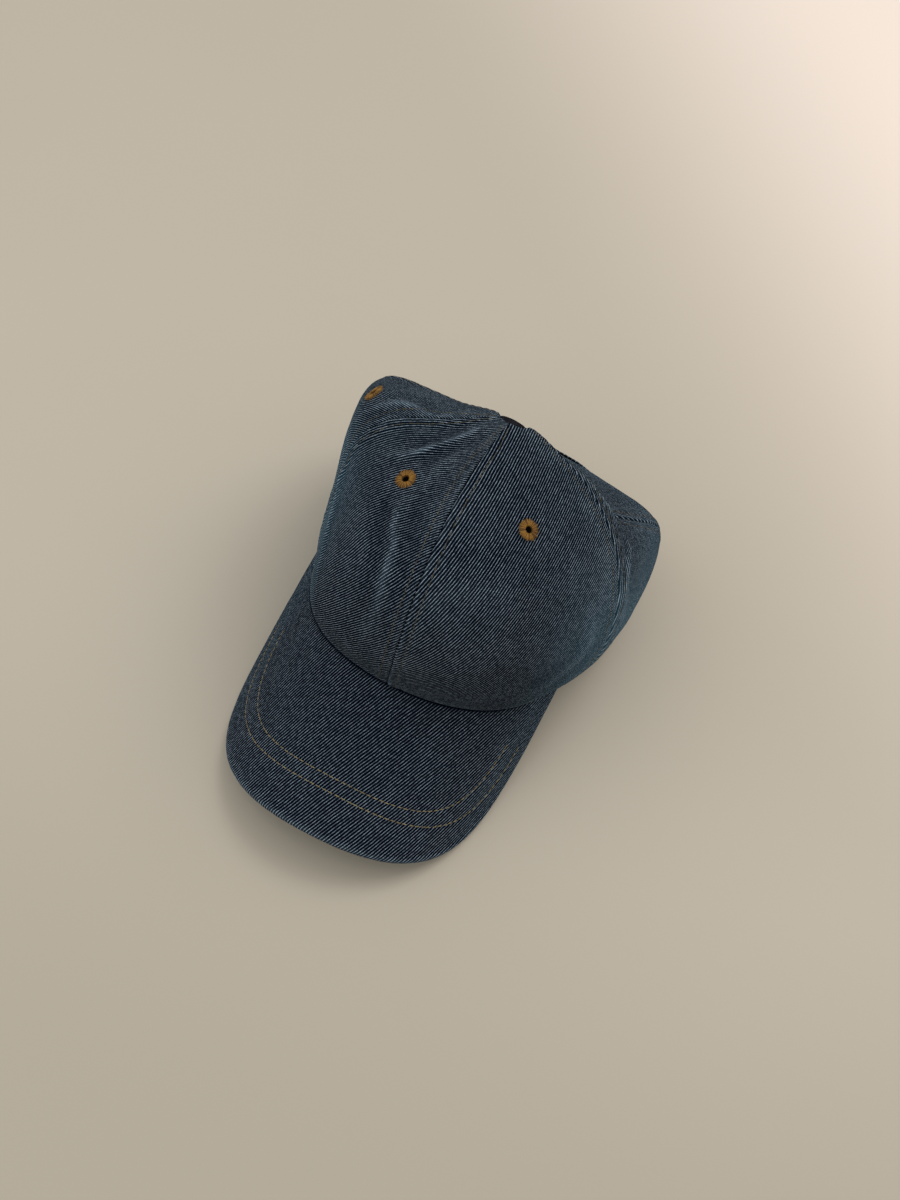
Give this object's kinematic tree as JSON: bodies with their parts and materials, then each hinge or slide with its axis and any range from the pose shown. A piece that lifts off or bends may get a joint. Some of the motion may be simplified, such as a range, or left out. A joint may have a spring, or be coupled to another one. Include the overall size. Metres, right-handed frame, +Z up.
{
  "type": "baseball cap",
  "caption": "Soft denim baseball cap with a pre-curved brim, sewn eyelets, a covered top button and an adjustable back strap with a flip clasp.",
  "frame": {"origin": "centre of the bounding box, on the surface the cap stands on", "axes": "+Z up, -Y along the brim to the front, +X to the wearer's left"},
  "size_m": [0.16, 0.2614, 0.1389],
  "materials": {
    "denim": "washed indigo twill denim, faded on ridges and seam edges",
    "eyelet_thread": "mustard satin-stitched thread",
    "seam_tape": "dark woven seam tape",
    "sweatband_cloth": "dark cotton twill sweatband",
    "button_cloth": "dark cloth-covered button",
    "board": "moulded brim board, sealed between the cloths",
    "brass": "antique brass, worn at the edges"
  },
  "bodies": {
    "cap": {"panel_front_right": "denim", "panel_side_right": "denim", "panel_back_right": "denim", "panel_back_left": "denim", "panel_side_left": "denim", "panel_front_left": "denim", "eyelet_front_right": "eyelet_thread", "eyelet_side_right": "eyelet_thread", "eyelet_back_right": "eyelet_thread", "eyelet_back_left": "eyelet_thread", "eyelet_side_left": "eyelet_thread", "eyelet_front_left": "eyelet_thread", "seam_tape_front": "seam_tape", "seam_tape_front_right": "seam_tape", "seam_tape_back_right": "seam_tape", "seam_tape_back": "seam_tape", "seam_tape_back_left": "seam_tape", "seam_tape_front_left": "seam_tape", "crown_button": "button_cloth", "button_rivet_plate": "brass", "brim_board": "board", "brim_top_cloth": "denim", "brim_under_cloth": "denim", "sweatband": "sweatband_cloth", "opening_binding": "denim", "clasp_tab": "denim", "clasp_frame": "brass", "clasp_pin": "brass"},
    "strap": {"back_strap": "denim"},
    "lever": {"clasp_lever": "brass"}
  },
  "joints": [
    {"name": "strap_draw", "type": "hinge", "parent": "cap", "child": "strap", "pos_m": [-0.00204, 0.05064, 0.013], "axis": [0, 0, 1], "range_deg": [-18, 18]},
    {"name": "lever_flip", "type": "hinge", "parent": "cap", "child": "lever", "pos_m": [-0.00681, 0.12685, 0.01334], "axis": [-0.0084, 0.1348, -0.9908], "range_deg": [0, 105]}
  ]
}
